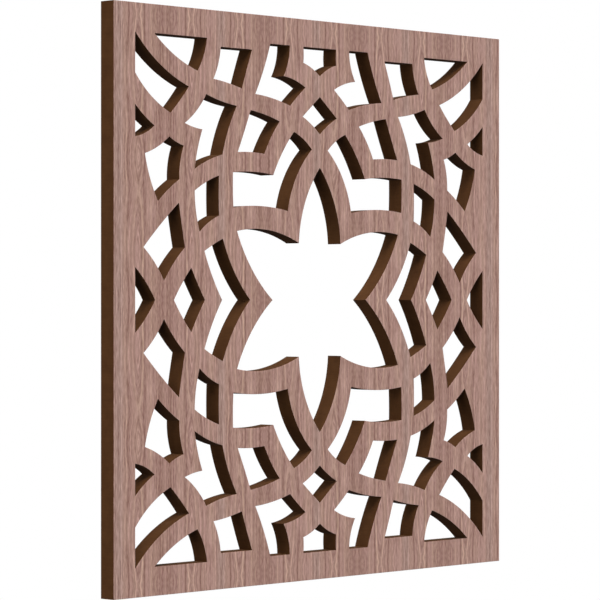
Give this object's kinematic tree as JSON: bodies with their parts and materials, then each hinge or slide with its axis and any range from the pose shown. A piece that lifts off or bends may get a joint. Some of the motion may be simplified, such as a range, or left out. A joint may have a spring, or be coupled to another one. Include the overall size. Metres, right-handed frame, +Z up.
{
  "type": "mashrabiya screen",
  "caption": "Square wooden fretwork screen panel with a six-pointed star and interlaced straps inside a plain border.",
  "frame": {"origin": "on the back face, in the middle of the top border, where the panel is fixed", "axes": "+X to the right seen from the front, +Y out of the back towards what carries the panel, +Z up; the front faces -Y"},
  "size_m": [0.6, 0.019, 0.6001],
  "materials": {
    "walnut_face": "satin"
  },
  "bodies": {
    "root": {"fretwork_panel": "walnut_face"}
  },
  "joints": []
}
